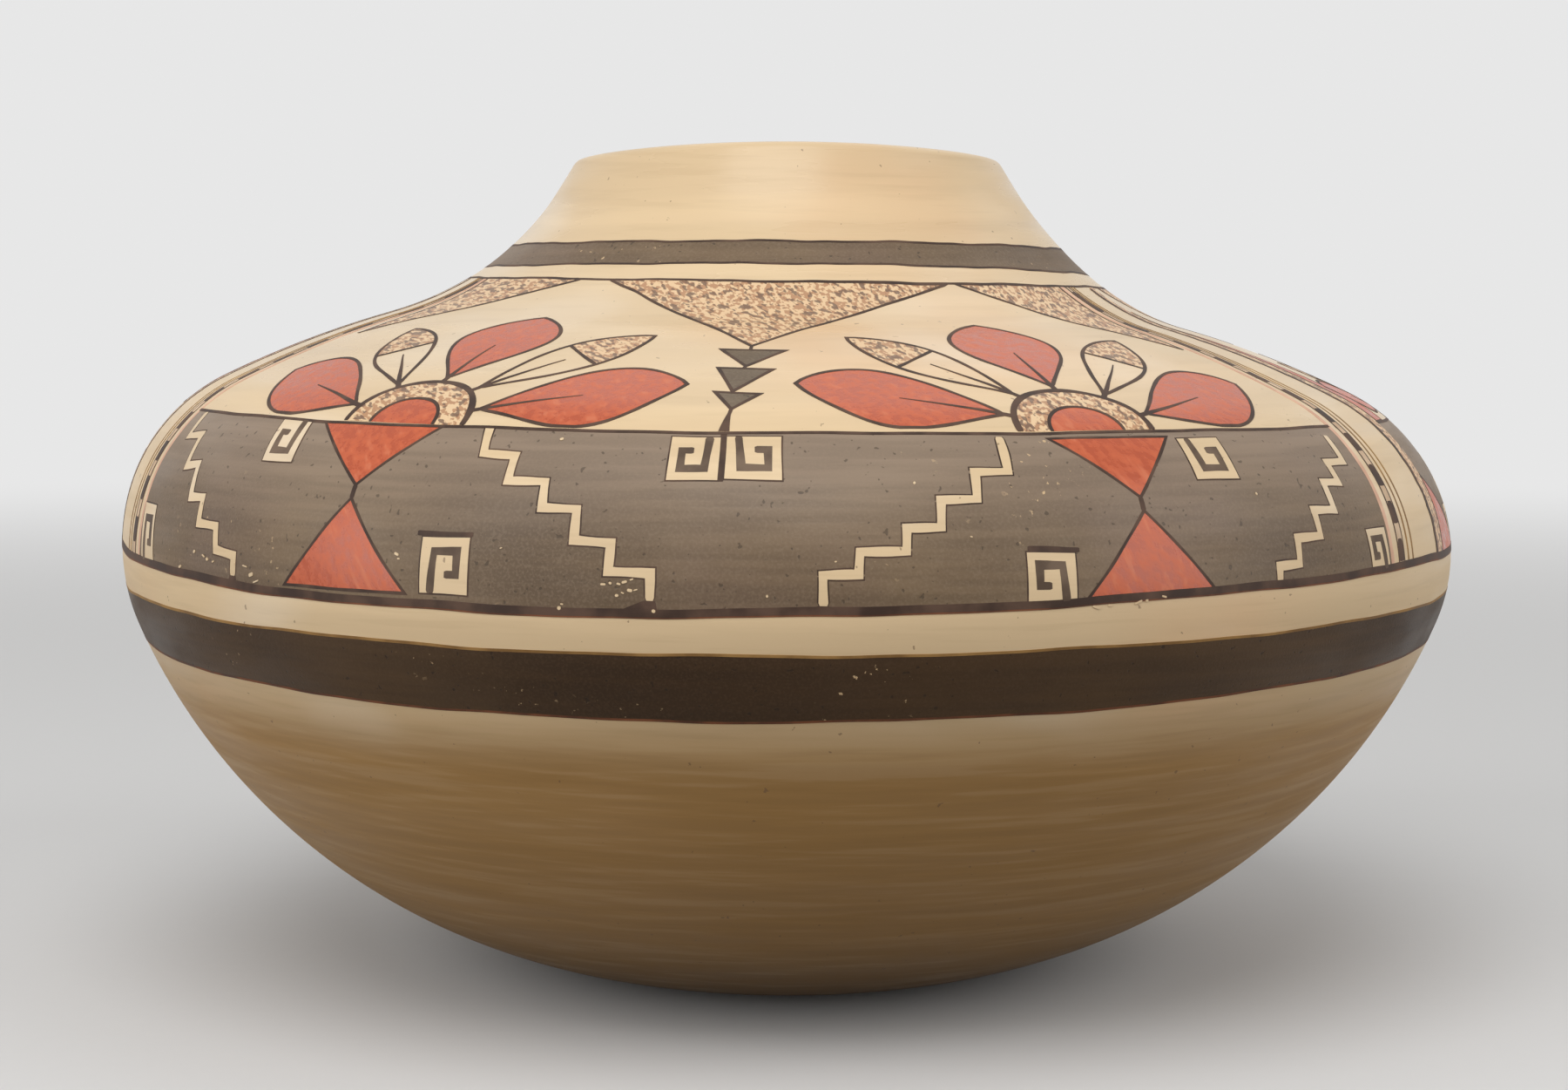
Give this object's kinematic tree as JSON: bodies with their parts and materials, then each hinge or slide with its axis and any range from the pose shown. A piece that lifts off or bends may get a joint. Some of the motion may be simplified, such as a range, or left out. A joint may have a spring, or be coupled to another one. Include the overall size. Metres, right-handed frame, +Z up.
{
  "type": "painted pottery jar",
  "caption": "Wide-bodied coil-built pottery jar with a small rounded base, a broad shoulder painted in geometric bands and a short open neck.",
  "frame": {"origin": "centre of the flat resting spot under the base", "axes": "+Z up along the jar's axis through the mouth, -Y towards the side that the picture shows"},
  "size_m": [0.2492, 0.2492, 0.1539],
  "materials": {
    "polished_clay": "cream to tan clay, stone-polished to a soft gloss outside and scraped matt inside, blushed by the firing",
    "brown_paint": "grey-brown mineral paint, satin and slightly mottled",
    "line_paint": "thin dark brown lines, matt",
    "red_paint": "red clay slip, brushed and burnished in streaks",
    "speckle_paint": "fine red-brown and dark speckle over cream"
  },
  "bodies": {
    "root": {"puki_base": "polished_clay", "lower_wall_coil": "polished_clay", "belly_coil": "polished_clay", "shoulder_coil_1": "polished_clay", "shoulder_coil_2": "polished_clay", "shoulder_coil_3": "polished_clay", "neck_coil": "polished_clay", "rim_coil": "polished_clay"}
  },
  "joints": []
}
